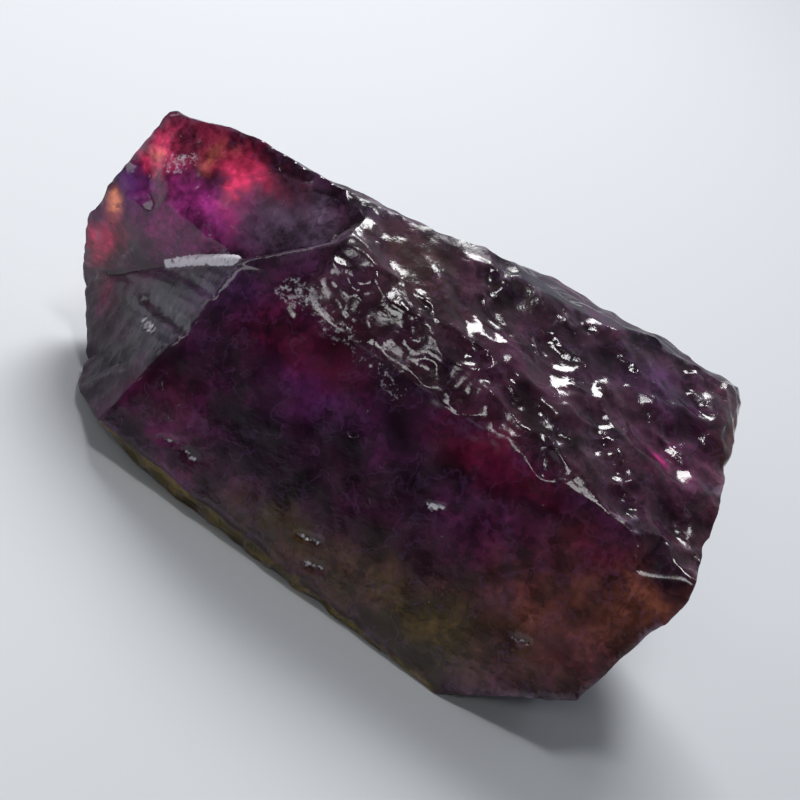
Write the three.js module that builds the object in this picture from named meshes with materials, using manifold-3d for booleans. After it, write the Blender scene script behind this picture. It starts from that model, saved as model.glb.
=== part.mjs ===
// A raw sapphire crystal: one broken piece of dark purple corundum, lying on its flat underside.
// Millimetres, +X along the stone, +Z up. The origin is under its middle, on the ground.
import * as THREE from 'three';
import { mergeVertices } from 'three/addons/utils/BufferGeometryUtils.js';
import Module from 'manifold-3d';

// The heart is the point inside the stone that every face is measured from.
const HEART = new THREE.Vector3(0.98, -2.4, 8);
// The stone is cut from a block this wide, by cutters wide enough to clear it at every angle.
const BLOCK = 48;
const CUTTER = 120;
// How far from the stone's surface the middle of a hollow or chip may be before it is left out.
const NEAR = 0.25;
// Triangles of a hollow's ball: 20 times the square of this number plus one.
const BALL_DETAIL = 7;
// Chips along a broken edge: their radius, how far their middle stands outside the edge as a share
// of it, and how much longer they are along the stone.
const CHIP_RADIUS = 1.7;
const CHIP_OUTSIDE = 0.85;
const CHIP_LENGTH = 1.9;

// Every flat face: the bearing of its outward normal from +X, the normal's rise above level
// (both in degrees), and how far the face stands from the heart.
const faces = {
  // the broad smooth face, the strip above it and the broken upper face
  front: [-95, 15.5, 4.45],
  slope: [-94, 41.5, 5.9],
  rough: [-78, 68, 7.2],
  // the narrow bevel round the front face's left end, and where the head begins behind it
  bevelLow: [-123, 22.5, 8.2],
  bevelHigh: [-120, 29, 7.5],
  bevelEnd: [-67, -18, -4.4],
  // the glossy strip between the broken face and the back
  stripLeft: [51, 79, 9.8],
  stripMiddle: [90, 77.5, 9.7],
  stripRight: [132, 79, 8.5],
  backTop: [105, 66, 10.2],
  // the right end, its undercut tip and the chipped corner
  endHigh: [-2, 45, 16.5],
  endBack: [14, 20, 19.2],
  endLow: [5, 9.5, 17.6],
  tip: [3, -16.5, 15.9],
  foot: [-43, -50, 13.8],
  corner: [-108, 43.5, 2.3],
  cornerWall: [-55, 30, 12.4],
  // the underside
  lowerEdge: [-99, -34.5, 9.4],
  base: [0, -90, HEART.z],
  // the left end below the head
  stepFace: [-149, 21, 10.65],
  lump: [-104, -16, 1.6],
  leftFace: [-146, -7, 12.5],
  leftLedge: [-176, 27, 10.5],
  leftLow: [-151, 4.5, 12.95],
  leftFoot: [-129, -56, 12.0],
  leftEnd: [-169.5, -28.5, 17.3],
  // the head, set back behind a step in the body
  head: [-108.5, 33.5, 4.95],
  ledge: [155.5, 53, 8.9],
  wallLeft: [159, 42.5, 9.9],
  wallRight: [-178.5, 29, 9.8],
  headSide: [-124.5, 14.5, 8.0],
  headEndHigh: [162.5, 18.5, 20.2],
  headEndLow: [169, 6.5, 20.35],
  // the back
  back: [84, -6, 10.6],
  backLow: [97, -42, 11.6],
  backRight: [52, 6, 17.3],
  backLeft: [138, -2, 17.0],
  underLeft: [172, -54, 15.2],
};

// Each cut takes away what is outside all of its faces at once: one face leaves a plain flat,
// several leave a step or an inner corner.
const cuts = [
  ['front'], ['slope'], ['rough'], ['bevelLow', 'lump'], ['bevelHigh', 'bevelEnd'],
  ['stripLeft', 'stripMiddle', 'stripRight'], ['backTop'],
  ['endHigh'], ['endBack'], ['endLow'], ['tip'], ['foot'], ['corner', 'cornerWall'],
  ['lowerEdge'], ['base'],
  ['stepFace', 'lump'], ['leftFace', 'lump', 'leftLedge'], ['leftLow', 'lump'], ['leftFoot', 'lump'], ['leftEnd'],
  ['head', 'ledge', 'wallLeft', 'wallRight'], ['headSide', 'ledge'], ['headEndHigh', 'ledge'], ['headEndLow', 'ledge'],
  ['back'], ['backLow'], ['backRight'], ['backLeft'], ['underLeft'],
];

// Shell-shaped hollows of broken corundum. On each face they are spread over a span across and a
// span up it, with radii between two values; bite is the depth as a share of the radius, and the
// hollow is stretched along a line turned by some degrees from level.
const hollows = [
  { on: 'rough', count: 44, across: [-6, 16], up: [-4, 7.4], radius: [3, 6.5], bite: 0.07, stretch: 1.7, turn: -20 },
  { on: 'slope', count: 16, across: [-5, 9], up: [1.4, 5.2], radius: [1.4, 3], bite: 0.08, stretch: 2, turn: -8 },
  { on: 'backTop', count: 24, across: [-15, 15], up: [-11, 0], radius: [5, 11], bite: 0.045, stretch: 1.4, turn: 12 },
  { on: 'back', count: 24, across: [-14, 13], up: [-7, 8.5], radius: [5, 12], bite: 0.045, stretch: 1.3, turn: 30 },
  { on: 'backLeft', count: 9, across: [-1, 10], up: [-6, 7], radius: [3, 7], bite: 0.06, stretch: 1.3, turn: 60 },
  { on: 'tip', count: 10, across: [-7, 8], up: [-3, 8], radius: [3, 6], bite: 0.06, stretch: 1.4, turn: 75 },
  { on: 'endLow', count: 6, across: [-6, 7], up: [-0.5, 4.5], radius: [2, 4], bite: 0.05, stretch: 1.6, turn: 0 },
  { on: 'headSide', count: 4, across: [-18, -13], up: [-1, 5], radius: [3, 5], bite: 0.05, stretch: 1.3, turn: 40 },
  // two single dents in the smooth front face
  { on: 'front', count: 1, across: [5.3, 5.3], up: [-1.9, -1.9], radius: [5, 5], bite: 0.04, stretch: 1.6, turn: -6 },
  { on: 'front', count: 1, across: [12.6, 12.6], up: [-4.2, -4.2], radius: [3.6, 3.6], bite: 0.03, stretch: 1.8, turn: -20 },
];

// Edges nibbled by small chips: the two faces that meet, and the span of X they are chipped over.
const chippedEdges = [
  { between: ['front', 'slope'], span: [-4, 9], count: 8 },
  { between: ['slope', 'rough'], span: [-3, 7], count: 6 },
  { between: ['rough', 'backTop'], span: [-6, 3], count: 5 },
  { between: ['back', 'backTop'], span: [-8, 13], count: 9 },
];

const wasm = await Module();
wasm.setup();

function solidFrom(geometry) {
  geometry.deleteAttribute('normal');
  geometry.deleteAttribute('uv');
  const welded = mergeVertices(geometry);
  return new wasm.Manifold(new wasm.Mesh({
    numProp: 3,
    vertProperties: new Float32Array(welded.attributes.position.array),
    triVerts: new Uint32Array(welded.index.array),
  }));
}

// A face's outward normal, the level direction across it and the direction up it.
function frameOf(name) {
  const [bearing, rise] = faces[name].map(THREE.MathUtils.degToRad);
  const out = new THREE.Vector3(
    Math.cos(bearing) * Math.cos(rise),
    Math.sin(bearing) * Math.cos(rise),
    Math.sin(rise),
  );
  const across = new THREE.Vector3(-Math.sin(bearing), Math.cos(bearing), 0);
  const up = new THREE.Vector3().crossVectors(out, across);
  return { out, across, up };
}

function pointOn(name, across, up, above) {
  const axes = frameOf(name);
  return HEART.clone()
    .addScaledVector(axes.out, faces[name][2] + above)
    .addScaledVector(axes.across, across)
    .addScaledVector(axes.up, up);
}

// The block that fills the space outside one face.
function outsideOf(name) {
  const axes = frameOf(name);
  const place = new THREE.Matrix4().makeBasis(axes.across, axes.up, axes.out);
  place.setPosition(pointOn(name, 0, 0, CUTTER / 2));
  return solidFrom(new THREE.BoxGeometry(CUTTER, CUTTER, CUTTER).applyMatrix4(place));
}

// Evenly scattered numbers from 0 to 1: the same step round a circle each time.
function scatter(index, step, start) {
  const turns = index * step + start;
  return turns - Math.floor(turns);
}

// Whether a point is on the cut stone's surface, give or take a little.
function isOnSurface(point) {
  const arm = point.clone().sub(HEART);
  const outside = cuts.map((names) => Math.min(...names.map((name) => frameOf(name).out.dot(arm) - faces[name][2])));
  return Math.abs(Math.max(...outside)) < NEAR;
}

// A ball stretched along one direction in the face, ready to be taken away. There is none where
// the face isn't the stone's surface.
function hollowOn(family, index) {
  const size = THREE.MathUtils.lerp(...family.radius, scatter(index, 0.5698, 0.31));
  const across = THREE.MathUtils.lerp(...family.across, scatter(index, 0.7549, 0.17));
  const up = THREE.MathUtils.lerp(...family.up, scatter(index, 0.618, 0.43));
  if (!isOnSurface(pointOn(family.on, across, up, 0))) {
    return null;
  }
  const turn = THREE.MathUtils.degToRad(family.turn + 24 * (scatter(index, 0.8191, 0.5) - 0.5));
  const axes = frameOf(family.on);
  const along = axes.across.clone().multiplyScalar(Math.cos(turn)).addScaledVector(axes.up, Math.sin(turn));
  const aside = new THREE.Vector3().crossVectors(axes.out, along);
  const place = new THREE.Matrix4().makeBasis(along.multiplyScalar(family.stretch), aside, axes.out);
  place.scale(new THREE.Vector3(size, size, size));
  place.setPosition(pointOn(family.on, across, up, size * (1 - family.bite)));
  return solidFrom(new THREE.IcosahedronGeometry(1, BALL_DETAIL).applyMatrix4(place));
}

// Where the edge of two faces crosses the plane X = x.
function edgePoint([first, second], x) {
  const a = frameOf(first).out;
  const b = frameOf(second).out;
  const ra = faces[first][2] - a.x * (x - HEART.x);
  const rb = faces[second][2] - b.x * (x - HEART.x);
  const twice = a.y * b.z - a.z * b.y;
  const y = (ra * b.z - rb * a.z) / twice;
  const z = (a.y * rb - b.y * ra) / twice;
  return new THREE.Vector3(x, HEART.y + y, HEART.z + z);
}

function chipOn(edge, index) {
  const share = (index + scatter(index, 0.618, 0.2)) / edge.count;
  const point = edgePoint(edge.between, THREE.MathUtils.lerp(...edge.span, share));
  if (!isOnSurface(point)) {
    return null;
  }
  const outward = edge.between.map((name) => frameOf(name).out).reduce((sum, out) => sum.add(out), new THREE.Vector3());
  const size = CHIP_RADIUS * (0.6 + 0.7 * scatter(index, 0.7549, 0.6));
  point.addScaledVector(outward.normalize(), CHIP_OUTSIDE * size);
  const ball = new THREE.IcosahedronGeometry(size, BALL_DETAIL - 2);
  ball.scale(CHIP_LENGTH, 1, 1).translate(point.x, point.y, point.z);
  return solidFrom(ball);
}

function cutCrystal() {
  const block = new THREE.BoxGeometry(BLOCK, BLOCK, BLOCK);
  let stone = solidFrom(block.translate(HEART.x, HEART.y, HEART.z));
  for (const names of cuts) {
    const waste = names.map(outsideOf).reduce((kept, next) => kept.intersect(next));
    stone = stone.subtract(waste);
  }
  for (const family of hollows) {
    for (let index = 0; index < family.count; index += 1) {
      const hollow = hollowOn(family, index);
      stone = hollow ? stone.subtract(hollow) : stone;
    }
  }
  for (const edge of chippedEdges) {
    for (let index = 0; index < edge.count; index += 1) {
      const chip = chipOn(edge, index);
      stone = chip ? stone.subtract(chip) : stone;
    }
  }
  return stone;
}

function geometryOf(solid) {
  const { vertProperties, triVerts } = solid.getMesh();
  const geometry = new THREE.BufferGeometry();
  geometry.setAttribute('position', new THREE.BufferAttribute(vertProperties, 3));
  geometry.setIndex(new THREE.BufferAttribute(triVerts, 1));
  geometry.computeVertexNormals();
  return geometry;
}

const sapphire = new THREE.MeshStandardMaterial({ color: '#3b1533', roughness: 0.25, metalness: 0 });
const crystal = new THREE.Mesh(geometryOf(cutCrystal()), sapphire);
crystal.name = 'crystal';

const part = new THREE.Group();
part.add(crystal);

export default part;
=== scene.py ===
import math

import bpy
import numpy as np
from mathutils import Matrix, Vector


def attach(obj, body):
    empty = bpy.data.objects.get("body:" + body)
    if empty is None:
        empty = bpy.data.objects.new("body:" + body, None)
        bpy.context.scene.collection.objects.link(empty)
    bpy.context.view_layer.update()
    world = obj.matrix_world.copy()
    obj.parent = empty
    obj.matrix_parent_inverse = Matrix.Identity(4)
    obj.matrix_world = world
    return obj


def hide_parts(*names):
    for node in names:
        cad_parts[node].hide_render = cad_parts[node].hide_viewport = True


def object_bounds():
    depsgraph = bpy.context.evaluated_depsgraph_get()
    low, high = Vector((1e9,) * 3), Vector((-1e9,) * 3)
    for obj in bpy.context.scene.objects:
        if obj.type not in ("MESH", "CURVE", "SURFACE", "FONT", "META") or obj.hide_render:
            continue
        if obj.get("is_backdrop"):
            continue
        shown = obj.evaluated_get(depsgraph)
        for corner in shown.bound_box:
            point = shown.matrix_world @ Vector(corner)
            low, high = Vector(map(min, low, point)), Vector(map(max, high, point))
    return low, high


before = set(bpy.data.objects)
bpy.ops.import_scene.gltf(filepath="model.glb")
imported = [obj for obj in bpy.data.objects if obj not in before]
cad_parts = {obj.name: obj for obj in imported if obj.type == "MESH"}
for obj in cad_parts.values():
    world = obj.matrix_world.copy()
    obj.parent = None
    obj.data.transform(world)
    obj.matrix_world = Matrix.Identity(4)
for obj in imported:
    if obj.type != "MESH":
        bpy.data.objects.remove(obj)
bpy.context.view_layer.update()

# ------------------------------------------------------------------ the crystal: its flats
# A single crystal of corundum, broken out of its rock. Every side is a flat: growth faces at the
# front and the head, breaks everywhere else. A flat is given by the bearing and the rise of its
# outward normal, its distance from the heart of the stone, and the kind of surface that it has.
MILLIMETRE = 0.001
heart = np.array((0.98, -2.4, 8.0))

flats = {
    "front": (-95, 15.5, 4.45, "grown"),
    "crest": (-95, 30, 5.19, "chipped"),
    "slope": (-94, 41.5, 5.9, "chipped"),
    "rough": (-78, 68, 7.2, "broken"),
    "bevelLow": (-123, 22.5, 8.2, "grown"),
    "bevelHigh": (-120, 29, 7.5, "grown"),
    "bevelStart": (0, 0, -14.5, "grown"),
    "stripLeft": (51, 79, 10.0, "glossy"),
    "stripMiddle": (90, 77.5, 9.95, "glossy"),
    "stripRight": (132, 79, 8.8, "glossy"),
    "backTop": (105, 66, 10.2, "shell"),
    "endHigh": (-2, 45, 16.5, "chipped"),
    "endBack": (14, 20, 19.5, "shell"),
    "endLow": (5, 9.5, 17.6, "chipped"),
    "tip": (3, -16.5, 15.9, "shell"),
    "foot": (-43, -50, 13.8, "shell"),
    "corner": (-108, 38, 2.03, "worn"),
    "cornerWall": (-55, 30, 12.4, "chipped"),
    "lowerEdge": (-99, -34.5, 9.4, "yellow_lit"),
    "base": (0, -90, 8.0, "worn"),
    "stepFace": (-149, 21, 10.65, "stepped"),
    "lump": (-104, -16, 1.6, "worn"),
    "leftFace": (-146, -7, 13.0, "hacked"),
    "leftLedge": (-176, 27, 10.5, "hacked"),
    "leftLow": (-151, 4.5, 13.2, "hacked"),
    "leftFoot": (-129, -56, 12.0, "shell"),
    "leftEnd": (-169.5, -28.5, 17.6, "shell"),
    "head": (-108.5, 33.5, 4.95, "grown"),
    "ledge": (155.5, 53, 8.9, "worn"),
    "wallLeft": (159, 42.5, 9.9, "worn"),
    "wallRight": (-178.5, 29, 9.8, "worn"),
    "headSide": (-124.5, 14.5, 8.0, "worn"),
    "headTip": (143, 48.5, 16.6, "worn"),
    "headEndHigh": (162.5, 20.5, 22.1, "worn"),
    "headEndLow": (169, 6.5, 20.75, "worn"),
    "back": (84, -6, 10.6, "shell"),
    "backLow": (97, -42, 11.6, "shell"),
    "backRight": (52, 6, 17.3, "shell"),
    "backLeft": (138, -2, 17.0, "shell"),
    "underLeft": (172, -54, 15.2, "shell"),
}

# Each cut takes away what is outside all of its flats at once, so one flat leaves a plain side and
# several leave a step or an inner corner. After each cut's flats comes the width over which its
# edges are worn round, CRISP where they are fresh.
CRISP = 0.14
cuts = [
    (("front",), CRISP),
    (("crest",), 0.2),
    (("slope",), 0.3),
    (("rough",), 0.2),
    (("bevelLow", "lump"), CRISP),
    (("bevelHigh", "bevelStart"), 0.3),
    (("stripLeft", "stripMiddle", "stripRight"), CRISP),
    (("backTop",), CRISP),
    (("endHigh",), 0.2),
    (("endBack",), CRISP),
    (("endLow",), CRISP),
    (("tip",), CRISP),
    (("foot",), CRISP),
    (("corner", "cornerWall"), CRISP),
    (("lowerEdge",), CRISP),
    (("base",), 0.1),
    (("stepFace", "lump"), CRISP),
    (("leftFace", "lump", "leftLedge"), 0.3),
    (("leftLow", "lump"), 0.3),
    (("leftFoot", "lump"), 0.2),
    (("leftEnd",), 0.2),
    (("head", "ledge", "wallLeft", "wallRight"), CRISP),
    (("headSide", "ledge"), 0.6),
    (("headTip",), 0.4),
    (("headEndHigh", "ledge"), 0.5),
    (("headEndLow", "ledge"), 0.6),
    (("back",), CRISP),
    (("backLow",), CRISP),
    (("backRight",), CRISP),
    (("backLeft",), CRISP),
    (("underLeft",), CRISP),
]


def axes_of(name):
    """Outward normal, level direction across and direction up the flat, from its bearing and rise."""
    bearing, rise = np.radians(flats[name][:2])
    out = np.array((np.cos(bearing) * np.cos(rise), np.sin(bearing) * np.cos(rise), np.sin(rise)))
    across = np.array((-np.sin(bearing), np.cos(bearing), 0.0))
    return out, across, np.cross(out, across)


axes = {name: axes_of(name) for name in flats}
reach = {name: flats[name][2] for name in flats}


# ------------------------------------------------------------------ the crystal: swells and breaks
# Corundum has no good cleavage. It breaks into shallow shells with crisp ridges between them, and
# old breaks are etched and wetted smooth. These are the three small forms that all flats share.
def lots(cell, seed, count):
    """Fixed random numbers from 0 to 1 for whole-number places: each place is multiplied by large
    odd numbers, summed and folded on itself by shifts, once for each number asked for."""
    mixed = np.full(cell.shape[:-1], (seed * 2246822519 + 374761393) & 0xFFFFFFFF, np.uint32)
    factors = (2654435761, 3266489917, 668265263)
    for part, factor in zip(np.moveaxis(cell, -1, 0), factors):
        mixed = mixed ^ (part.astype(np.int64).astype(np.uint32) * np.uint32(factor))
        mixed = mixed * np.uint32(2246822519)
        mixed ^= mixed >> np.uint32(15)
    numbers = []
    for _ in range(count):
        mixed = (mixed + np.uint32(0x9E3779B9)) * np.uint32(1664525)
        mixed ^= mixed >> np.uint32(16)
        numbers.append(mixed / 4294967296.0)
    return np.stack(numbers, -1)


def swells(p, size, seed):
    """Smooth swells about size mm long, from -1 to 1: the corners of a lattice have random slopes,
    what they say at a point is blended by 6t^5 - 15t^4 + 10t^3 along each direction, and the sum is
    raised 1.6 times to fill the range."""
    q = p / size
    cell = np.floor(q)
    inside = q - cell
    blend = inside**3 * (inside * (inside * 6 - 15) + 10)
    total = 0.0
    for corner in np.ndindex(*(2,) * p.shape[-1]):
        slope = lots(cell + corner, seed, p.shape[-1]) * 2 - 1
        weight = np.where(corner, blend, 1 - blend).prod(-1)
        total = total + weight * (slope * (inside - corner)).sum(-1)
    return total * 1.6


def drifts(p, size, seed):
    """Three swells at once, one for each direction that places are bent in."""
    return np.stack([swells(p, size, seed + k) for k in range(3)], -1)


# About the mean of shells(), taken off so that a relief lies as much above its flat as below it.
SHELL_MEAN = 0.35
# How far apart in height the floors of the shells may lie, in bowl sizes.
FLOOR_SPREAD = 0.55


def shells(a, b, size, seed, turn=0.0, stretch=1.0, soft=0.02):
    """Shallow bowls that meet in ridges, 0 at the lowest floors to about 0.7 on the ridges: the
    lowest of (half the squared distance from a scattered centre + that centre's own height), in bowl
    sizes. soft is how much the ridges are rounded."""
    c, s = math.cos(math.radians(turn)), math.sin(math.radians(turn))
    q = np.stack(((a * c + b * s) / (size * stretch), (b * c - a * s) / size), -1)
    cell = np.floor(q)
    lowest = np.full(a.shape, 9.0)
    for step in np.ndindex(3, 3):
        place = cell + np.array(step) - 1
        luck = lots(place, seed, 3)
        gap = q - place - luck[..., :2]
        bowl = 0.5 * (gap * gap).sum(-1) + FLOOR_SPREAD * luck[..., 2]
        near = np.maximum(soft - abs(bowl - lowest), 0)
        lowest = np.minimum(bowl, lowest) - near * near / (4 * soft)
    return lowest


def smooth_step(low, high, x):
    """0 below low, 1 above high, and 3t^2 - 2t^3 between."""
    t = np.clip((x - low) / (high - low), 0, 1)
    return t * t * (3 - 2 * t)


# ------------------------------------------------------------------ the crystal: kinds of surface
# Every kind is a height from the flat in mm. a runs across the flat and b up it, and p is the place
# in the stone, from its heart. The broken top has humps that lean towards the light (where, how wide
# and how high) and one calm place, which takes away a share of its relief.
humps = (
    ((3.5, 0.0, 7.4), 1.5, 0.34),
    ((7.7, -0.2, 6.7), 1.3, 0.28),
    ((11.5, -0.2, 6.5), 1.2, 0.26),
    ((10.1, -2.5, 5.5), 1.1, 0.26),
    ((-1.2, 1.9, 8.3), 0.9, 0.2),
)
calm_place = (-3.4, 1.2, 8.1)
calm_width = 3.0
calm_share = 0.75


def spot(p, place, width):
    """1 at a place, falling off round it as exp(-(distance / width)^2)."""
    return np.exp(-((p - place) ** 2).sum(-1) / width**2)


def broken(a, b, p):
    """Wet-looking break: shells of 3.2 and 1.3 mm drawn out along the stone, swells on top of them,
    crumbs of half a millimetre in patches, calmer zones, and the humps."""
    drift = swells(p, 2.5, 3)
    big = shells(a + 0.9 * drift, b - 0.6 * drift, 3.2, 11, turn=-24, stretch=1.5, soft=0.015)
    small = shells(a + 0.5 * drift, b + 0.4 * drift, 1.3, 12, turn=-30, stretch=1.25, soft=0.02)
    patch = smooth_step(-0.2, 0.35, swells(p, 2.0, 14))
    crumbs = shells(a + 0.3 * drift, b, 0.55, 15, turn=-10, stretch=1.2, soft=0.05)
    total = 0.5 * (big - SHELL_MEAN) + (0.35 + 0.45 * patch) * (small - SHELL_MEAN)
    total = total + 0.08 * swells(p, 0.9, 16) + 0.22 * patch * (crumbs - SHELL_MEAN)
    total = total * (0.5 + 0.5 * smooth_step(-0.3, 0.25, swells(p, 3.6, 18)))
    total = total * (1 - calm_share * spot(p, calm_place, calm_width))
    for place, width, height in humps:
        total = total + height * spot(p, place, width)
    return total


def chipped(a, b, p):
    """Knobbly worn band: small shells drawn out along the stone, deeper in patches, and swells of one
    millimetre."""
    patch = smooth_step(-0.25, 0.3, swells(p, 1.8, 24))
    small = shells(a, b, 1.3, 21, turn=-8, stretch=1.5, soft=0.05)
    tiny = shells(a, b, 0.6, 23, turn=-30, stretch=1.2, soft=0.06)
    total = (0.18 + 0.5 * patch) * (small - SHELL_MEAN) + 0.12 * swells(p, 1.3, 22)
    return total + 0.14 * patch * (tiny - SHELL_MEAN)


def shell(a, b, p):
    """Clean shell break: wide bowls cut by narrower ones, splinters in patches, and fine rings round
    the bowls like those round the blow that broke a piece of glass."""
    drift = swells(p, 3.0, 33)
    wide = shells(a + 0.8 * drift, b + 0.5 * drift, 5.2, 31, turn=35, stretch=1.5, soft=0.006)
    patch = smooth_step(-0.2, 0.3, swells(p, 3.4, 35))
    small = shells(a - 0.4 * drift, b + 0.4 * drift, 1.7, 32, turn=28, stretch=1.6, soft=0.02)
    tiny = shells(a + 0.4 * drift, b, 0.7, 36, turn=10, stretch=1.5, soft=0.03)
    rings = np.sin(42 * wide + 2 * drift) * smooth_step(0.08, 0.25, wide)
    total = 0.8 * (wide - SHELL_MEAN) + (0.08 + 0.3 * patch) * (small - SHELL_MEAN)
    return total + (0.02 + 0.13 * patch) * (tiny - SHELL_MEAN) + 0.022 * (1 - patch) * rings


def grown(a, b, p):
    """Growth face: almost flat, with faint slow swells."""
    return 0.012 * swells(p, 4.0, 43) + 0.004 * swells(p, 1.1, 44)


def glossy(a, b, p):
    """Smooth strip: flat but for a slow wave and a few low shells."""
    low = shells(a, b, 2.4, 53, turn=-5, stretch=2.2, soft=0.03)
    return 0.04 * swells(p, 4.5, 51) + 0.015 * swells(p, 1.6, 52) + 0.10 * (low - SHELL_MEAN)


def stepped(a, b, p):
    """Growth steps: straight ribs across the face, turned 28 degrees from level and half a millimetre
    apart, on low steps; near the ground they end in a hackly break."""
    turn = math.radians(28)
    along = a * math.cos(turn) + b * math.sin(turn)
    aside = b * math.cos(turn) - a * math.sin(turn)
    ribs = swells(np.stack((along / 9, aside, 0 * a), -1), 0.45, 61)
    steps = swells(np.stack((along / 5, aside, 0 * a + 5), -1), 1.4, 62)
    high = smooth_step(-4.0, -2.2, p[..., 2])
    return high * (0.035 * ribs + 0.09 * np.tanh(4 * steps)) + (1 - high) * hacked(a, b, p)


def worn(a, b, p):
    """Rounded, etched break, with a few shells left in it."""
    patch = smooth_step(0.0, 0.4, swells(p, 2.6, 73))
    small = shells(a, b, 1.5, 74, turn=40, stretch=1.5, soft=0.05)
    return 0.09 * swells(p, 2.4, 71) + 0.03 * swells(p, 0.9, 72) + 0.25 * patch * (small - SHELL_MEAN)


def hacked(a, b, p):
    """Old break across the growth: facets of 1.8 mm drawn out up the side, smaller ones of 0.8 mm and
    swells on top of them."""
    facets = shells(a, b, 1.8, 75, turn=70, stretch=1.6, soft=0.03)
    small = shells(a, b, 0.8, 76, turn=55, stretch=1.6, soft=0.03)
    return 0.9 * (facets - SHELL_MEAN) + 0.3 * (small - SHELL_MEAN) + 0.08 * swells(p, 1.3, 77)


# The lower edge's kind is chipped in shape; its olive colour is painted yellow light thrown up from below.
kinds = {
    "broken": broken, "chipped": chipped, "yellow_lit": chipped, "shell": shell, "grown": grown,
    "glossy": glossy, "stepped": stepped, "worn": worn, "hacked": hacked,
}

# ------------------------------------------------------------------ the crystal: hollows
# The larger shell-shaped hollows, spread over a span across and a span up each flat. bite is the
# depth as a share of the radius, and each hollow is stretched along a line turned from level. The
# columns are the flat, how many, across, up, radius, bite, stretch and turn in degrees, which varies
# over TURN_SPREAD. A hollow or chip is left out if its middle is further than ON_SURFACE from the cut
# stone.
ON_SURFACE = 0.25
TURN_SPREAD = 24
hollow_families = [
    ("rough", 44, (-6, 16), (-4, 7.4), (3, 6.5), 0.07, 1.7, -20),
    ("slope", 16, (-5, 9), (1.4, 5.2), (1.4, 3), 0.08, 2, -8),
    ("backTop", 24, (-15, 15), (-11, 0), (5, 11), 0.045, 1.4, 12),
    ("back", 24, (-14, 13), (-7, 8.5), (5, 12), 0.045, 1.3, 30),
    ("backLeft", 9, (-1, 10), (-6, 7), (3, 7), 0.06, 1.3, 60),
    ("tip", 10, (-7, 8), (-3, 8), (3, 6), 0.06, 1.4, 75),
    ("endLow", 6, (-6, 7), (-0.5, 4.5), (2, 4), 0.05, 1.6, 0),
    ("headSide", 4, (-18, -13), (-1, 5), (3, 5), 0.05, 1.3, 40),
]

# Chips along the worn edges: the two flats that meet, the span of X, how many. A chip is a ball
# longer along the stone, and its middle stands outside the edge by a share of its radius.
CHIP_RADIUS = 1.7
CHIP_OUTSIDE = 0.85
CHIP_LENGTH = 1.9
chip_families = [
    ("front", "slope", (-4, 9), 8),
    ("slope", "rough", (-3, 7), 6),
    ("rough", "backTop", (-6, 3), 5),
    ("back", "backTop", (-8, 13), 9),
]


def scatter(index, step, start):
    """Evenly scattered numbers from 0 to 1: the same step round a circle each time."""
    return (index * step + start) % 1.0


def lerp(span, share):
    """The value at a share of the way through a span."""
    return span[0] + (span[1] - span[0]) * share


def flat_heights(p):
    """Height of each place over the plane of each flat."""
    return {name: p @ axes[name][0] - reach[name] for name in flats}


def over_cuts(heights):
    """Height over the cut stone: the largest over the cuts of the smallest over each cut's flats."""
    return np.max([np.min([heights[name] for name in names], axis=0) for names, _ in cuts], axis=0)


def is_on_surface(place):
    """Whether one place is on the cut stone's surface, give or take ON_SURFACE."""
    return abs(over_cuts(flat_heights(place[None]))[0]) <= ON_SURFACE


def hollow_balls():
    """The flat, centre, three directions and three half-widths of every hollow and chip."""
    balls = []
    for name, count, across, up, radius, bite, stretch, turn in hollow_families:
        out, level, rising = axes[name]
        for index in range(count):
            size = lerp(radius, scatter(index, 0.5698, 0.31))
            aside = lerp(across, scatter(index, 0.7549, 0.17))
            height = lerp(up, scatter(index, 0.618, 0.43))
            foot = reach[name] * out + aside * level + height * rising
            if not is_on_surface(foot):
                continue
            angle = math.radians(turn + TURN_SPREAD * (scatter(index, 0.8191, 0.5) - 0.5))
            along = level * math.cos(angle) + rising * math.sin(angle)
            sides = np.stack((along, np.cross(out, along), out))
            half = np.array((stretch * size, size, size))
            balls.append((name, foot + size * (1 - bite) * out, sides, half))
    for first, second, span, count in chip_families:
        n, m = axes[first][0], axes[second][0]
        for index in range(count):
            x = lerp(span, (index + scatter(index, 0.618, 0.2)) / count) - heart[0]
            left_over = np.array((reach[first] - n[0] * x, reach[second] - m[0] * x))
            y, z = np.linalg.solve(np.array((n[1:], m[1:])), left_over)
            place = np.array((x, y, z))
            if not is_on_surface(place):
                continue
            size = CHIP_RADIUS * (0.6 + 0.7 * scatter(index, 0.7549, 0.6))
            outward = (n + m) / np.linalg.norm(n + m)
            half = np.array((CHIP_LENGTH * size, size, size))
            balls.append((first, place + CHIP_OUTSIDE * size * outward, np.eye(3), half))
    return balls


balls = hollow_balls()
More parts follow.
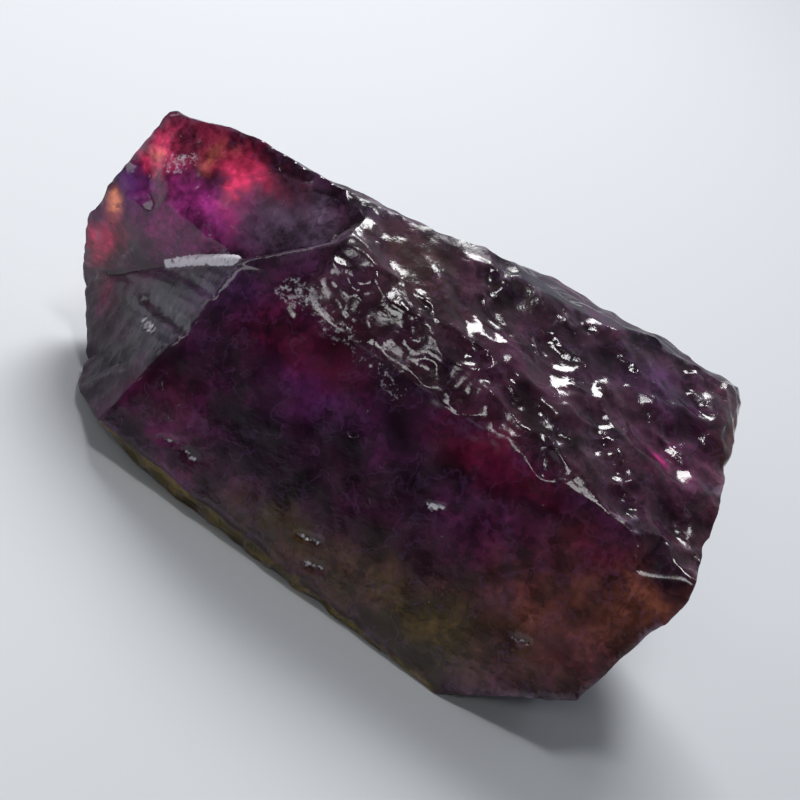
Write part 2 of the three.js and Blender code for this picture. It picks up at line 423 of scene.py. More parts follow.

# Single ledges, grooves, pits and painted highlights: the flat that they lie on, where each begins and ends
# (mm, in the part's frame), its radius, how far it stands out of the flat (or is cut into it, below zero;
# 0 is a painted highlight only), and how much painted white highlight it carries.
touches = [
    ("stepFace", (-13.5, -0.55, 8.25), (-10.2, -3.05, 11.7), 0.32, 0.2, 0.8),
    ("stepFace", (-13.4, -1.8, 6.3), (-10.4, -5.4, 7.9), 0.6, -0.22, 0.0),
    ("stepFace", (-11.9, -2.4, 9.0), (-9.9, -4.6, 10.1), 0.4, -0.08, 0.0),
    ("stepFace", (-12.5, -3.1, 5.7), (-11.7, -4.2, 6.1), 0.3, 0, 0.5),
    ("stepFace", (-14.9, -0.05, 7.7), (-15.1, 0.15, 8.5), 0.3, 0, 0.75),
    ("head", (-16.1, 1.15, 15.0), (-14.3, -0.3, 12.8), 0.5, -0.12, 0.0),
    ("headSide", (-15.9, 0.75, 12.6), (-15.2, 0.7, 13.4), 0.6, 0, 0.42),
    ("head", (-13.9, -0.6, 12.3), (-12.6, -1.55, 11.1), 0.3, -0.08, 0.25),
    ("head", (-12.4, -1.5, 11.6), (-12.2, -1.6, 11.4), 0.3, -0.10, 0.2),
    ("head", (-10.7, 0.4, 15.9), (-9.2, 0.5, 16.2), 0.35, -0.10, 0.0),
    ("head", (-8.6, 0.1, 16.1), (-7.6, 0.2, 16.3), 0.4, -0.08, 0.0),
    ("crest", (-7.0, -4.7, 12.8), (-5.6, -4.98, 13.0), 0.8, 0, 0.4),
    ("crest", (-4.4, -5.2, 12.8), (-3.3, -5.4, 12.5), 0.7, 0, 0.3),
    ("crest", (-2.0, -5.55, 12.2), (0.6, -5.9, 11.7), 0.6, 0, 0.27),
    ("front", (5.05, -7.38, 7.84), (5.75, -7.41, 8.14), 0.13, -0.05, 0.75),
    ("front", (0.2, -8.4, 2.8), (1.25, -8.41, 3.14), 0.12, -0.05, 0.6),
    ("front", (1.28, -8.78, 1.82), (2.17, -8.75, 2.08), 0.12, -0.05, 0.55),
    ("front", (-8.57, -7.63, 2.88), (-7.8, -7.62, 3.15), 0.11, -0.04, 0.55),
    ("front", (-7.03, -7.71, 3.04), (-6.5, -7.78, 3.0), 0.13, -0.05, 0.65),
    ("front", (12.4, -8.9, 4.7), (13.1, -8.9, 4.95), 0.15, -0.04, 0.6),
]


def nearest_way(p, start, end):
    """Distance of places p from the nearest point of the line from start to end."""
    line = np.subtract(end, start)
    share = np.clip((p - start) @ line / (line @ line), 0, 1)
    return np.linalg.norm(p - start - share[:, None] * line, axis=-1)


def touch_lines():
    """Ends of the middle line of each ledge or groove, as far under or over the flat as its radius
    and its stand say, with the radius, the stand and the share of painted white highlight."""
    lines = []
    for name, start, end, radius, stand, amount in touches:
        out = axes[name][0]
        ends = []
        for place in (start, end):
            foot = np.array(place) - heart
            foot = foot + (reach[name] - foot @ out) * out
            if stand > 0:
                over = stand - radius
            elif stand < 0:
                over = stand + radius
            else:
                over = 0
            ends.append(foot + over * out)
        lines.append((ends[0], ends[1], radius, stand, amount))
    return lines


ledges = touch_lines()


def rounded_max(first, second, soft):
    """The larger of the two, with the crease between them rounded over the width soft."""
    near = np.maximum(soft - abs(first - second), 0)
    return np.maximum(first, second) + near * near / (4 * soft)


# A flat's relief is worked out only where the flat is this near the surface (mm).
RELIEF_REACH = 1.6
# How much of its flat's relief a hollow has.
HOLLOW_RELIEF = 0.9
# Deeper in the stone than any place that matters, and further than any line goes (mm).
DEEP = -9.0
FAR = 1e3


def outside(p):
    """How far places p stand outside the stone, in mm, with p measured from its heart: the cuts'
    rounded largest, each flat moved by its own relief, then every ball's depth, which is (1 - its
    scaled radius) / slope, bent by swells and moved by the relief of its flat, and the distance from
    each ledge's or groove's line less its radius."""
    heights = flat_heights(p)
    rough_guess = over_cuts(heights)
    relief = {}
    for name, height in heights.items():
        near = abs(height - rough_guess) < RELIEF_REACH
        relief[name] = np.zeros(len(p))
        if near.any():
            place = p[near]
            out, level, rising = axes[name]
            relief[name][near] = kinds[flats[name][3]](place @ level, place @ rising, place)
            height -= relief[name]
    total = np.full(len(p), DEEP)
    for names, soft in cuts:
        total = rounded_max(total, np.min([heights[name] for name in names], axis=0), soft)
    bent = p + 0.2 * drifts(p, 1.7, 93)
    for name, centre, sides, half in balls:
        near = ((p - centre) ** 2).sum(-1) < (half.max() + 0.3) ** 2
        if near.any():
            q = (bent[near] - centre) @ sides.T / half
            size = np.linalg.norm(q, axis=-1) + 1e-9
            slope = np.linalg.norm(q / half, axis=-1) / size
            depth = (1 - size) / slope - HOLLOW_RELIEF * relief[name][near]
            total[near] = rounded_max(total[near], depth, 0.06)
    for start, end, radius, stand, _ in ledges:
        middle = (start + end) / 2
        near = ((p - middle) ** 2).sum(-1) < (np.linalg.norm(end - start) / 2 + radius + 0.8) ** 2
        if stand == 0 or not near.any():
            continue
        gap = nearest_way(p[near], start, end) - radius + 0.04 * swells(p[near], 0.5, 91)
        if stand > 0:
            total[near] = -rounded_max(-total[near], -gap, 0.2)
        else:
            total[near] = rounded_max(total[near], -gap, 0.1)
    return total


# ------------------------------------------------------------------ the crystal: its surface
# Every place on the surface is seen straight from a spine inside the stone, so the surface is one
# distance for each line from the spine to a fine grid on a box round the stone.
pitch = 0.196
box_low = np.array((-19.1, -10.3, -0.3))
box_high = np.array((19.1, 10.3, 17.6))
steps = np.round((box_high - box_low) / pitch).astype(int)
# The spine: its place along X as a share of the grid's, and its Y and Z.
spine_share = 0.35
spine_y, spine_z = 2.0, 8.7
# Each line is followed from this far inside the cuts, so many times, by a little more than the
# distance still to go.
head_start = 2.5
follow_steps = 12
follow_share = 1.1


def box_grid():
    """Corners of all squares on the box, welded, and the four corners of each square, outwards."""
    sides = [(axis, end) for axis in range(3) for end in (0, -1)]
    parts = [tuple(end if k == axis else slice(None) for k in range(3)) for axis, end in sides]
    index = np.full(steps + 1, -1)
    skin = np.zeros(steps + 1, bool)
    for part in parts:
        skin[part] = True
    index[skin] = np.arange(skin.sum())
    squares = []
    for (axis, end), part in zip(sides, parts):
        sheet = index[part]
        square = np.stack((sheet[:-1, :-1], sheet[1:, :-1], sheet[1:, 1:], sheet[:-1, 1:]), -1)
        square = square.reshape(-1, 4)
        squares.append(square[:, ::-1] if (end == 0) != (axis == 1) else square)
    return box_low + np.argwhere(skin) * (box_high - box_low) / steps, np.concatenate(squares)


def surface_places(corners):
    """Where each line from the spine to a corner of the box leaves the stone: it is followed out from
    a place inside, each time by the distance that outside() says is still to go."""
    level = 0 * corners[:, 0]
    start = np.stack((spine_share * corners[:, 0], level + spine_y, level + spine_z), -1)
    line = corners - start
    line /= np.linalg.norm(line, axis=-1, keepdims=True)
    start = start - heart
    ways = {}
    for name, (out, _, _) in axes.items():
        slant = line @ out
        to_flat = (reach[name] - start @ out) / np.maximum(slant, 1e-3)
        ways[name] = np.where(slant > 1e-3, to_flat, FAR)
    way = np.min([np.max([ways[name] for name in names], axis=0) for names, _ in cuts], axis=0)
    way = way - head_start
    for _ in range(follow_steps):
        way = way - follow_share * outside(start + line * way[:, None])
    return start + line * way[:, None]


def slopes(p):
    """Outward unit normals: the rise of outside() over a fiftieth of a millimetre each way."""
    rise = np.stack([outside(p + 0.02 * e) - outside(p - 0.02 * e) for e in np.eye(3)], -1)
    return rise / np.linalg.norm(rise, axis=-1, keepdims=True)


def crisp_centres(places, normals, squares):
    """One point for each square, the nearest to the tangent planes at its four corners: it lies on a
    ridge or a corner of the stone where they differ, and in the middle where they agree. It stays
    within 1.2 pitches of the middle."""
    p, n = places[squares], normals[squares]
    middle = p.mean(1)
    pull = np.einsum("cki,ckj->cij", n, n) + 0.03 * np.eye(3)
    push = np.einsum("cki,ck->ci", n, np.einsum("cki,cki->ck", n, p - middle[:, None]))
    shift = np.linalg.solve(pull, push[..., None])[..., 0]
    size = np.linalg.norm(shift, axis=-1, keepdims=True)
    return middle + shift * np.minimum(1, 1.2 * pitch / np.maximum(size, 1e-9))


def rings(squares, count):
    """Round each corner, the squares that meet there in turn: from a square that leaves the corner
    along one edge, the next is the one that leaves it along the edge by which the first arrives."""
    starts = squares.ravel()
    leaving = np.roll(squares, -1, 1).ravel()
    arriving = np.roll(squares, 1, 1).ravel()
    owner = np.repeat(np.arange(len(squares)), 4)
    order = np.argsort(starts * count + leaving)
    keys = (starts * count + leaving)[order]
    first = np.full(count, -1)
    first[starts] = np.arange(len(starts))
    turn = [first]
    for _ in range(3):
        last = turn[-1]
        turn.append(order[np.searchsorted(keys, starts[last] * count + arriving[last])])
    return owner[np.stack(turn, -1)]


corners, squares = box_grid()
places = surface_places(corners)
points = crisp_centres(places, slopes(places), squares)
quads = rings(squares, len(corners))

# Each four-sided patch is split along the diagonal whose middle lies nearer the surface.
first_middle = (points[quads[:, 0]] + points[quads[:, 2]]) / 2
second_middle = (points[quads[:, 1]] + points[quads[:, 3]]) / 2
swap = abs(outside(second_middle)) < abs(outside(first_middle))
quads[swap] = np.roll(quads[swap], -1, 1)
triangles = np.concatenate((quads[:, (0, 1, 2)], quads[:, (0, 2, 3)]))
first, second, third = triangles.T
triangles = triangles[(first != second) & (second != third) & (first != third)]
points = points + heart
points[:, 2] = np.maximum(points[:, 2], 0)

mesh = bpy.data.meshes.new("crystal_surface")
mesh.from_pydata((points * MILLIMETRE).tolist(), [], triangles.tolist())
mesh.validate()
mesh.shade_smooth()
mesh.set_sharp_from_angle(angle=math.radians(32))
crystal = bpy.data.objects.new("raw_crystal", mesh)
bpy.context.scene.collection.objects.link(crystal)
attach(crystal, "root")
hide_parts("crystal")

# ------------------------------------------------------------------ the crystal: light inside it
# Dark purple corundum is nearly black through its thickness. Where a healed crack inside throws light back,
# it glows crimson, magenta or orange; where it is thin, the crimson, magenta and orange glows are painted
# light let through from behind, the grey-violet on the head is painted sheen, and the brown and olive low
# at the front and at the right end are painted yellow light thrown up from below.
tints = {
    "crimson": (0.165, 0.006, 0.040),
    "magenta": (0.30, 0.026, 0.18),
    "violet": (0.13, 0.026, 0.17),
    "ember": (1.0, 0.065, 0.19),
    "amber": (1.0, 0.34, 0.16),
    "brown": (0.27, 0.080, 0.046),
    "umber": (0.070, 0.026, 0.024),
    "olive": (0.125, 0.078, 0.013),
    "night": (0.022, 0.008, 0.022),
    "wine": (0.055, 0.007, 0.033),
    "pink": (0.85, 0.06, 0.34),
    "grey_sheen": (0.20, 0.13, 0.215),
}

# Where each glow is (mm, in the part's frame), how far it spreads along X, Y and Z, its tint, how much
# of the body colour it covers and, in the thin head, how much of it is painted glow: light let through
# from behind, given out as emission.
glows = [
    ((-15.2, 0.0, 5.4), (2.2, 2.5, 2.6), "wine", 1.0, 0),
    ((-13.2, -3.0, 3.0), (2.6, 3.5, 2.6), "night", 0.9, 0),
    # Painted sheen: the next two grey-violet patches on the head.
    ((-9.5, -0.6, 13.8), (3.2, 2, 1.6), "grey_sheen", 0.85, 0),
    ((-6.8, -1.0, 15.0), (2.6, 2, 1.3), "grey_sheen", 1.0, 0),
    # The glows from here to the ember low on the head's end are painted light let through the thin head
    # from behind, in the body colour and as emission.
    ((-15.0, 0.1, 10.4), (2.2, 2, 1.9), "magenta", 0.7, 0.3),
    ((-14.5, 0.4, 16.4), (2.4, 2, 1.0), "crimson", 0.9, 0.15),
    ((-13.2, 0.7, 14.7), (2.8, 2, 0.8), "ember", 0.85, 0.14),
    ((-12.9, 0.5, 14.3), (1.2, 1.2, 0.5), "ember", 1.0, 0.24),
    ((-14.2, 0.4, 14.5), (0.6, 1.2, 0.7), "amber", 0.6, 0.12),
    ((-13.2, -0.7, 12.2), (2.4, 2, 0.9), "magenta", 0.9, 0.6),
    ((-11.7, -0.9, 13.2), (0.8, 1, 0.5), "pink", 0.5, 0.12),
    ((-16.6, 1.6, 12.8), (1.2, 2, 0.8), "ember", 0.9, 0.28),
    ((-17.4, 1.5, 11.6), (1.2, 2, 0.5), "ember", 0.9, 0.18),
    ((-17.0, 1.4, 12.4), (0.6, 1, 0.4), "amber", 0.5, 0.12),
    ((-17.3, 0.9, 10.0), (1.1, 1.5, 0.7), "violet", 1.0, 0.25),
    ((-17.8, 1.0, 8.7), (0.45, 1.0, 0.45), "amber", 0.9, 0.15),
    ((-17.4, 1.0, 6.5), (0.9, 1.5, 1.3), "ember", 0.8, 0.12),
    ((-15.8, 0.2, 4.0), (0.6, 1.0, 0.8), "crimson", 0.8, 0),
    ((-9.4, -7.1, 4.7), (2.2, 1.5, 1.8), "crimson", 0.4, 0),
    ((-8.6, -7.5, 3.2), (1.2, 1.5, 0.7), "magenta", 0.6, 0),
    ((-9.0, -4.9, 10.7), (2.4, 1.5, 1.2), "violet", 0.4, 0),
    ((-4.7, -5.8, 10.7), (3.4, 1.5, 1.9), "crimson", 0.8, 0),
    ((-3.0, -6.3, 9.0), (3.0, 1.5, 1.2), "violet", 0.5, 0),
    ((1.5, -7.2, 6.6), (4.0, 2, 2.2), "wine", 0.6, 0),
    ((5.8, -6.4, 11.6), (1.9, 1.5, 1.4), "crimson", 1.0, 0),
    ((8.4, -6.7, 11.4), (1.9, 1.5, 1.0), "crimson", 0.8, 0),
    ((9.5, -7.6, 8.8), (2.4, 1.5, 1.4), "magenta", 0.35, 0),
    ((13.6, -7.2, 10.8), (2.4, 1.5, 1.0), "crimson", 0.6, 0),
    # Painted yellow light thrown up from below: the brown and olive glows among the next six lines, low on
    # the front and at the right end.
    ((16.7, -7.9, 9.6), (2.6, 2, 2.2), "brown", 0.9, 0),
    ((17.0, -6.7, 12.0), (1.5, 1.2, 1.0), "night", 1.0, 0),
    ((17.6, 3.0, 14.8), (1.2, 3.0, 2.0), "brown", 0.9, 0.1),
    ((13.3, -8.2, 6.5), (3.6, 2, 3.0), "brown", 0.7, 0),
    ((7.9, -9.1, 2.8), (5.5, 2, 2.4), "olive", 0.8, 0),
    ((0.0, -8.6, 2.4), (5.0, 2, 1.2), "olive", 0.6, 0),
    ((-2.2, -1.0, 16.1), (3.2, 2.2, 1.5), "umber", 0.9, 0),
    ((8.0, 0.5, 16.0), (3.0, 1.6, 1.5), "night", 0.6, 0),
    ((12.7, 1.8, 15.9), (2.4, 1.5, 1.5), "violet", 0.5, 0),
    ((15.6, -1.0, 14.6), (1.6, 2, 1.6), "magenta", 0.3, 0),
    ((14.1, -2.2, 14.2), (0.8, 0.8, 0.8), "pink", 0.6, 0),
    # Painted yellow light let through the right end from below.
    ((18.6, 1.0, 10.0), (1.5, 5, 3.5), "brown", 0.8, 0),
    ((6.0, 9.4, 7.0), (4.0, 2, 2.4), "crimson", 0.8, 0),
    ((-8.0, 9.4, 9.0), (3.5, 3, 2.6), "magenta", 0.5, 0),
    ((-1.0, 9.0, 12.5), (3.0, 3, 1.6), "violet", 0.7, 0),
    ((-14.0, 6.0, 5.0), (2.6, 3, 2.2), "ember", 0.4, 0),
    ((-15.5, 5.5, 11.5), (2.0, 2.5, 2.0), "crimson", 0.8, 0),
    ((13.0, 8.0, 4.0), (3.0, 3, 2.0), "brown", 0.7, 0),
]


def kind_share(p, wanted):
    """1 where the nearest flat is of one of the wanted kinds, else 0."""
    heights = flat_heights(p - heart)
    worst = np.full(len(p), DEEP)
    found = np.zeros(len(p))
    for names, _ in cuts:
        own = np.stack([heights[name] for name in names])
        low = own.min(0)
        match = np.array([flats[name][3] in wanted for name in names])[own.argmin(0)]
        found = np.where(low > worst, match, found)
        worst = np.maximum(worst, low)
    return found


def above_ground(p):
    """0 low on the stepped face, where its ribs have ended in a hackly break, to 1 where they are whole:
    Z from 4 to 6 mm."""
    return smooth_step(4.0, 6.0, p[:, 2])


def covered(under, share, over):
    """One colour for each place, covered by another by a share."""
    share = share[:, None]
    return (1 - share) * under + share * np.array(over)


def body_tint(p):
    """Colour of the stone's body at places p, and the painted glow that shines through: dark purple clouded
    by swells of 4 and 1.3 mm, browner on rough flats, greyer on the ribs and, on the lower edge, olive
    painted yellow light from below, covered by each glow as exp(-(distance / spread)^2), with the
    distance bent by swells of 2, 0.7 and 0.35 mm."""
    clouds = smooth_step(-0.35, 0.45, swells(p, 4.0, 81) + 0.5 * swells(p, 1.3, 82))
    colour = covered(np.array((0.028, 0.012, 0.028)), clouds, (0.075, 0.015, 0.058))
    dusty = 0.6 * kind_share(p, ("broken", "chipped"))
    colour = covered(colour, dusty, (0.075, 0.028, 0.042))
    greyed = 0.8 * (kind_share(p, ("stepped",)) * above_ground(p))
    colour = covered(colour, greyed, (0.042, 0.034, 0.055))
    # Painted yellow light from below, olive, on the lower edge.
    yellow_lit = 0.85 * kind_share(p, ("yellow_lit",))
    colour = covered(colour, yellow_lit, (0.20, 0.14, 0.020))
    bent = p + 0.9 * drifts(p, 2.0, 83)
    bent = bent + 0.45 * drifts(p, 0.7, 87)
    bent = bent + 0.25 * drifts(p, 0.35, 96)
    shine = 0 * colour
    for centre, spread, tint, cover, lit in glows:
        share = cover * np.exp(-(((bent - centre) / spread) ** 2).sum(-1))
        colour = covered(colour, share, tints[tint])
        shine = (1 - share[:, None]) * shine + share[:, None] * lit * np.array(tints[tint])
    return colour, shine


def bend(places, normals, quads):
    """How sharply the surface bends at each mesh point, in pitches: how far it stands over the mean of
    its neighbours. Above 0 is a ridge, below 0 a crease."""
    around = np.concatenate([quads[:, (k, (k + 1) % 4)] for k in range(4)])
    total, count = np.zeros_like(places), np.zeros(len(places))
    np.add.at(total, around[:, 0], places[around[:, 1]])
    np.add.at(count, around[:, 0], 1)
    return ((places - total / count[:, None]) * normals).sum(-1) / pitch


def painted_highlight(p):
    """How much painted white highlight lies at places p: most on the middle line of each mark, and all
    over a ledge that stands out."""
    share = np.zeros(len(p))
    for start, end, radius, stand, amount in ledges:
        gap = nearest_way(p, start, end) / (radius + max(-stand, 0))
        full_within = 1.05 if stand > 0 else 0.6
        share = np.maximum(share, amount * smooth_step(1.4, full_within, gap))
    return share


def paint(name, columns):
    """Up to three numbers for each mesh point, kept in the mesh as a colour under this name."""
    layer = mesh.color_attributes.new(name, "FLOAT_COLOR", "POINT")
    rows = np.concatenate((np.stack(columns, -1), np.ones((len(points), 1))), 1)
    layer.data.foreach_set("color", rows.astype(np.float32).ravel())


inside_places = points - heart
sharpness = bend(points, slopes(inside_places), quads)
colour, shine = body_tint(points)
paint("body", colour.T)
paint("shine", shine.T)
on_steps = kind_share(points, ("stepped",))
high = above_ground(points)
dullness = 0.35 * kind_share(points, ("shell",)) + kind_share(points, ("hacked",)) + on_steps * (1 - high)
paint("kinds", (kind_share(points, ("broken", "chipped")), on_steps * high, dullness))
ridges = smooth_step(0.03, 0.16, sharpness)
creases = smooth_step(0.02, 0.12, -sharpness)
# Edge wear on the ridges, darker creases, and painted white highlights from the marks.
paint("wear_and_highlights", (ridges, creases, painted_highlight(inside_places)))

# ------------------------------------------------------------------ the sapphire
# Dark purple corundum, part clear: light that enters is drunk up within a few millimetres, and
# clouds and healed cracks under the skin throw some back; light through the thin head is painted in
# as emission, and yellow light from below is painted olive and brown. Ridges are bruised pale, creases
# are darker, white highlights are painted on ledges, marks and nicks, hackly and shell breaks are
# duller, and small nicks lie all over.
sapphire = bpy.data.materials.new("dark purple sapphire")
sapphire.use_nodes = True
nodes, links = sapphire.node_tree.nodes, sapphire.node_tree.links
gem = nodes["Principled BSDF"]
gem.inputs["IOR"].default_value = 1.77
gem.inputs["Transmission Weight"].default_value = 0.28
gem.inputs["Emission Strength"].default_value = 1.0
gem.inputs["Specular IOR Level"].default_value = 0.19


def add(kind, place, **settings):
    """A node of the sapphire at a place on the node sheet, with some of its settings."""
    made = nodes.new("ShaderNode" + kind)
    made.location = place
    for key, value in settings.items():
        setattr(made, key, value)
    return made


def join(source, socket):
    """A link to a socket; a plain number or colour is set on it instead."""
    if isinstance(source, (int, float, tuple)):
        socket.default_value = source
    else:
        links.new(source, socket)
    return socket


def sum_of(kind, place, *values):
    """A Math node: MULTIPLY, ADD, MULTIPLY_ADD and so on, of up to three values."""
    made = add("Math", place, operation=kind)
    for value, socket in zip(values, made.inputs):
        join(value, socket)
    return made.outputs[0]


def span_of(place, value, low, high, to_low, to_high):
    """A Map Range node: value from low..high to to_low..to_high, held at both ends."""
    made = add("MapRange", place)
    for source, socket in zip((value, low, high, to_low, to_high), made.inputs):
        join(source, socket)
    return made.outputs[0]


def noise_of(place, vector, scale, detail, roughness=0.5):
    """A Noise Texture's grey value, read at vector."""
    made = add("TexNoise", place)
    links.new(vector, made.inputs["Vector"])
    for name, value in (("Scale", scale), ("Detail", detail), ("Roughness", roughness)):
        made.inputs[name].default_value = value
    return made.outputs["Fac"]


def cover_of(place, share, under, over):
    """A Mix node of two colours, over covering under by share."""
    made = add("Mix", place, data_type="RGBA")
    # Sockets 0, 6 and 7 are the factor and the two colours, and output 2 is the mixed colour.
    for source, socket in ((share, 0), (under, 6), (over, 7)):
        join(source, made.inputs[socket])
    return made.outputs[2]


def scaled_by(place, vector, amount):
    """A vector times a number."""
    made = add("VectorMath", place, operation="SCALE")
    links.new(vector, made.inputs[0])
    join(amount, made.inputs["Scale"])
    return made.outputs[0]


def stretched_by(place, vector, amounts):
    """A vector times three numbers, one for each direction."""
    made = add("VectorMath", place, operation="MULTIPLY")
    links.new(vector, made.inputs[0])
    made.inputs[1].default_value = amounts
    return made.outputs[0]


where_mm = scaled_by((-1600, 0), add("TexCoord", (-1800, 0)).outputs["Object"], 1000.0)
body = add("Attribute", (-1600, 500), attribute_name="body").outputs["Color"]
kind_parts = add("SeparateColor", (-1400, -300))
links.new(add("Attribute", (-1600, -300), attribute_name="kinds").outputs["Color"], kind_parts.inputs[0])
is_broken, is_stepped, is_dull = kind_parts.outputs[:3]
wear_parts = add("SeparateColor", (-1400, -600))
links.new(add("Attribute", (-1600, -600), attribute_name="wear_and_highlights").outputs["Color"], wear_parts.inputs[0])
ridge, crease, highlight_share = wear_parts.outputs[:3]

# Clouds of a millimetre or two, and small dark blots with crisp edges between them.
clouds = span_of((-1200, 500), noise_of((-1400, 500), where_mm, 0.55, 2), 0.34, 0.66, 0.5, 1.5)
blots = span_of((-1200, 350), noise_of((-1400, 350), where_mm, 2.4, 3, 0.62), 0.38, 0.58, 0.6, 1.15)
blotted = span_of((-1200, 200), noise_of((-1400, 200), where_mm, 0.23, 2), 0.42, 0.58, 0.35, 1.0)
blots = sum_of("MULTIPLY_ADD", (-1000, 350), sum_of("SUBTRACT", (-1100, 350), blots, 1.0), blotted, 1.0)
texture = sum_of("MULTIPLY", (-1100, 400), clouds, blots)

# Patches of about a millimetre with bent outlines, each a little darker or lighter.
bending = add("TexNoise", (-1800, 100))
bending.inputs["Scale"].default_value = 0.9
bending.inputs["Detail"].default_value = 2
links.new(where_mm, bending.inputs["Vector"])
bent_mm = add("VectorMath", (-1500, 100), operation="ADD")
links.new(where_mm, bent_mm.inputs[0])
links.new(scaled_by((-1650, 100), bending.outputs["Color"], 2.2), bent_mm.inputs[1])
patches = add("TexVoronoi", (-1350, 100))
patches.inputs["Scale"].default_value = 0.9
links.new(bent_mm.outputs[0], patches.inputs["Vector"])
patch_luck = add("SeparateColor", (-1200, 100))
links.new(patches.outputs["Color"], patch_luck.inputs[0])
patch_shade = span_of((-1050, 100), patch_luck.outputs[1], 0.0, 1.0, 0.65, 1.2)
texture = sum_of("MULTIPLY", (-950, 400), texture, patch_shade)
colour = scaled_by((-1000, 500), body, texture)
# Painted glow: light let through the thin head, given out as emission.
shine = add("Attribute", (-1600, 900), attribute_name="shine").outputs["Color"]
links.new(scaled_by((-1000, 900), shine, texture), gem.inputs["Emission Color"])

# Healed cracks: thin wandering sheets that throw back violet light.
sheets = noise_of((-1400, 700), bent_mm.outputs[0], 0.33, 3, 0.55)
off_sheet = sum_of("ABSOLUTE", (-1000, 700), sum_of("SUBTRACT", (-1200, 700), sheets, 0.5))
healed = span_of((-800, 750), off_sheet, 0.02, 0.0, 0.0, 0.16)
colour = cover_of((-800, 600), healed, colour, (0.24, 0.11, 0.30, 1))

# Darker in the creases, pale bruises on the ridges, and painted white highlights where the marks put them.
speckle = noise_of((-1400, -900), where_mm, 3.2, 3, 0.7)
crease_dark = sum_of("MULTIPLY", (-700, 300), crease, 0.75)
colour = cover_of((-600, 500), crease_dark, colour, (0.014, 0.006, 0.012, 1))
patchy = noise_of((-1400, -750), where_mm, 0.8, 1, 0.6)
bruised = span_of((-1200, -800), patchy, 0.48, 0.66, 0.0, 0.6)
bruise = sum_of("MULTIPLY", (-1000, -800), ridge, bruised)
colour = cover_of((-400, 500), bruise, colour, (0.34, 0.24, 0.36, 1))
# Painted highlights: white where the marks' share, broken up by speckle, is high.
highlight_share = sum_of("MULTIPLY_ADD", (-1200, -1000), speckle, 1.6, highlight_share)
white = span_of((-1000, -1000), highlight_share, 1.15, 1.55, 0.0, 1.0)
colour = cover_of((-200, 500), white, colour, (0.90, 0.86, 0.95, 1))

# Gloss: smeared, duller on ribs, hackly and shell breaks, painted white highlights and bruises.
matt = span_of((-1200, 0), noise_of((-1400, 0), where_mm, 0.7, 2), 0.35, 0.7, 0.08, 0.22)
duller = ((is_stepped, 0.14), (is_dull, 0.45), (white, 0.35), (bruise, 0.3))
for step, (share, amount) in enumerate(duller):
    matt = sum_of("MULTIPLY_ADD", (200 * step - 1000, 0), share, amount, matt)
links.new(matt, gem.inputs["Roughness"])

# Fine relief in mm: grain, most on the dull breaks, ribs on the stepped face, and nicks.
grain = noise_of((-1400, -1200), where_mm, 2.0, 3, 0.55)
grain_depth = sum_of("MULTIPLY_ADD", (-1200, -1350), is_broken, 0.022, 0.008)
grain_depth = sum_of("MULTIPLY_ADD", (-1200, -1200), is_dull, 0.10, grain_depth)
relief = sum_of("MULTIPLY", (-1000, -1200), grain, grain_depth)
ribs = noise_of((-1200, -1650), stretched_by((-1400, -1650), where_mm, (2.6, 0.6, 0.6)), 1.0, 2, 0.6)
ribs = sum_of("MULTIPLY", (-1000, -1650), ribs, is_stepped)
relief = sum_of("MULTIPLY_ADD", (-600, -1200), ribs, 0.05, relief)
nicks = add("TexVoronoi", (-600, -1600))
nicks.inputs["Scale"].default_value = 1.0
links.new(stretched_by((-800, -1600), bent_mm.outputs[0], (0.8, 1.3, 1.3)), nicks.inputs["Vector"])
luck = add("SeparateColor", (-400, -1700))
links.new(nicks.outputs["Color"], luck.inputs[0])
size = span_of((-200, -1700), luck.outputs[0], 0.55, 1.0, 0.0, 0.17)
nick_depth = span_of((0, -1600), nicks.outputs["Distance"], 0.0, size, -0.04, 0.0)
relief = sum_of("ADD", (-200, -1200), relief, nick_depth)

# Each nick has a pale speck at its bottom: a painted glint.
speck_rim = sum_of("MULTIPLY", (0, -1700), size, 0.4)
speck_core = sum_of("MULTIPLY", (0, -1800), size, 0.2)
glint_specks = span_of((200, -1600), nicks.outputs["Distance"], speck_rim, speck_core, 0.0, 0.6)
colour = cover_of((0, 500), glint_specks, colour, (0.62, 0.50, 0.64, 1))
links.new(colour, gem.inputs["Base Color"])
bump = add("Bump", (200, -1200))
bump.inputs["Distance"].default_value = MILLIMETRE
links.new(relief, bump.inputs["Height"])
links.new(bump.outputs[0], gem.inputs["Normal"])

# Light is drunk up inside, green first.
depths = add("VolumeAbsorption", (0, -300))
depths.inputs["Color"].default_value = (0.72, 0.02, 0.42, 1)
depths.inputs["Density"].default_value = 700
links.new(depths.outputs[0], nodes["Material Output"].inputs["Volume"])
mesh.materials.append(sapphire)

# ------------------------------------------------------------------ the table and the lamps
# A pale matt table, so wide that no edge is seen, with four soft boxes over it. Its top is two
# hundredths of a millimetre below the stone, so that the two never share a plane.
table_half = 3
table_z = -0.00002
table_corners = [(x * table_half, y * table_half, table_z) for x, y in ((-1, -1), (1, -1), (1, 1), (-1, 1))]
table = bpy.data.meshes.new("table_top")
table.from_pydata(table_corners, [], [(0, 1, 2, 3)])
table_top = bpy.data.objects.new("table_top", table)
bpy.context.scene.collection.objects.link(table_top)
pale = bpy.data.materials.new("pale table")
pale.use_nodes = True
matt_paint = pale.node_tree.nodes["Principled BSDF"]
matt_paint.inputs["Base Color"].default_value = (0.60, 0.62, 0.65, 1)
matt_paint.inputs["Roughness"].default_value = 0.6
table.materials.append(pale)
table_top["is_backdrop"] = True


def aim(thing, place, target, roll=0.0):
    """Puts a lamp or camera at place, its -Z towards target, turned about that line by roll."""
    back = (Vector(place) - Vector(target)).normalized()
    turn = back.to_track_quat("Z", "Y").to_matrix().to_4x4()
    thing.matrix_world = Matrix.Translation(place) @ turn @ Matrix.Rotation(roll, 4, "Z")


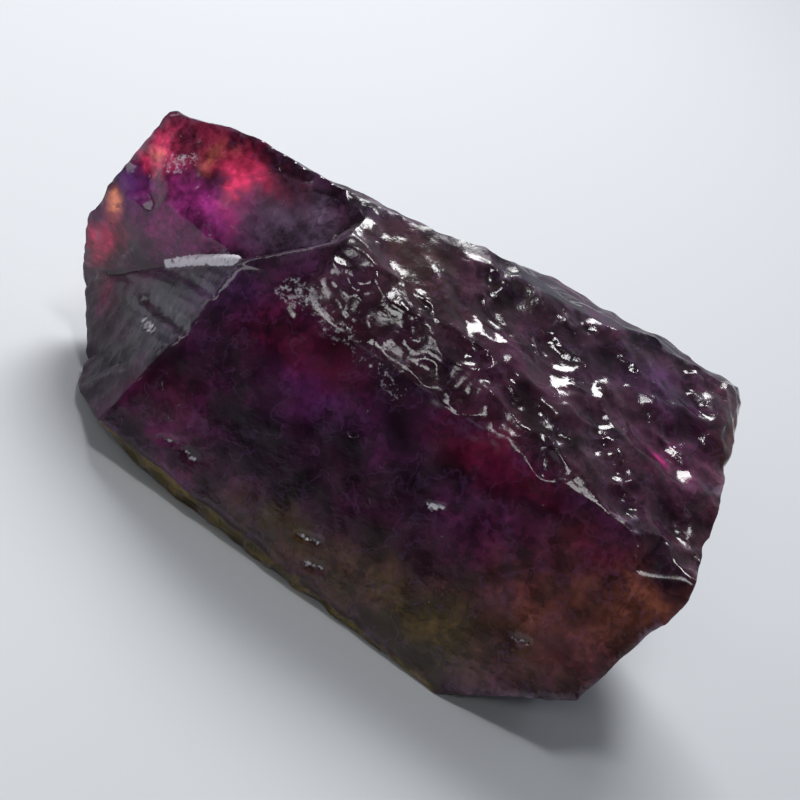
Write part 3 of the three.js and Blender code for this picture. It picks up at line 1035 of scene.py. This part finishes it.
def soft_box(name, place, target, width, height, power):
    """A white area lamp of so many metres and watts, aimed at a target."""
    lamp = bpy.data.lights.new(name, "AREA")
    lamp.shape = "RECTANGLE"
    lamp.size, lamp.size_y = width, height
    lamp.energy = power
    holder = bpy.data.objects.new(name, lamp)
    bpy.context.scene.collection.objects.link(holder)
    aim(holder, place, target)


middle = (0, 0, 0.008)
soft_box("window box", (-0.055, 0.13, 0.155), middle, 0.10, 0.08, 0.39)
soft_box("left box", (-0.20, -0.03, 0.09), middle, 0.06, 0.12, 0.05)
soft_box("low box", (-0.03, -0.24, 0.165), middle, 0.09, 0.06, 0.12)
soft_box("front box", (-0.02, -0.045, 0.22), middle, 0.04, 0.035, 0.10)

# The room is dark behind the camera and pale behind the stone.
world = bpy.data.worlds.new("studio")
world.use_nodes = True
room, room_links = world.node_tree.nodes, world.node_tree.links
facing = room.new("ShaderNodeTexCoord")
parts = room.new("ShaderNodeSeparateXYZ")
fade = room.new("ShaderNodeMapRange")
for name, value in (("From Min", -0.5), ("From Max", 0.9), ("To Min", 0.03), ("To Max", 0.38)):
    fade.inputs[name].default_value = value
room_links.new(facing.outputs["Generated"], parts.inputs[0])
room_links.new(parts.outputs["Y"], fade.inputs["Value"])
room["Background"].inputs["Color"].default_value = (0.84, 0.9, 1.0, 1)
room_links.new(fade.outputs[0], room["Background"].inputs["Strength"])
bpy.context.scene.world = world
bpy.context.scene.view_settings.view_transform = "Standard"

# ------------------------------------------------------------------ the camera
# A long lens from 140 mm away, looking down at 28 degrees and tilted by 32 degrees, so that the
# stone stands on a slant in the picture.
camera_data = bpy.data.cameras.new("camera")
camera_data.lens = 120
camera_data.sensor_width = 36
camera_data.clip_start = 0.01
camera_data.clip_end = 20
camera = bpy.data.objects.new("camera", camera_data)
bpy.context.scene.collection.objects.link(camera)
target = np.array((0.98, -2.4, 9.5)) * MILLIMETRE
rise = math.radians(28)
tilt = math.radians(32)
distance = 0.14035
eye = target + distance * np.array((0, -math.cos(rise), math.sin(rise)))
aim(camera, tuple(eye), tuple(target), tilt)
bpy.context.scene.camera = camera

low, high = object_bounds()
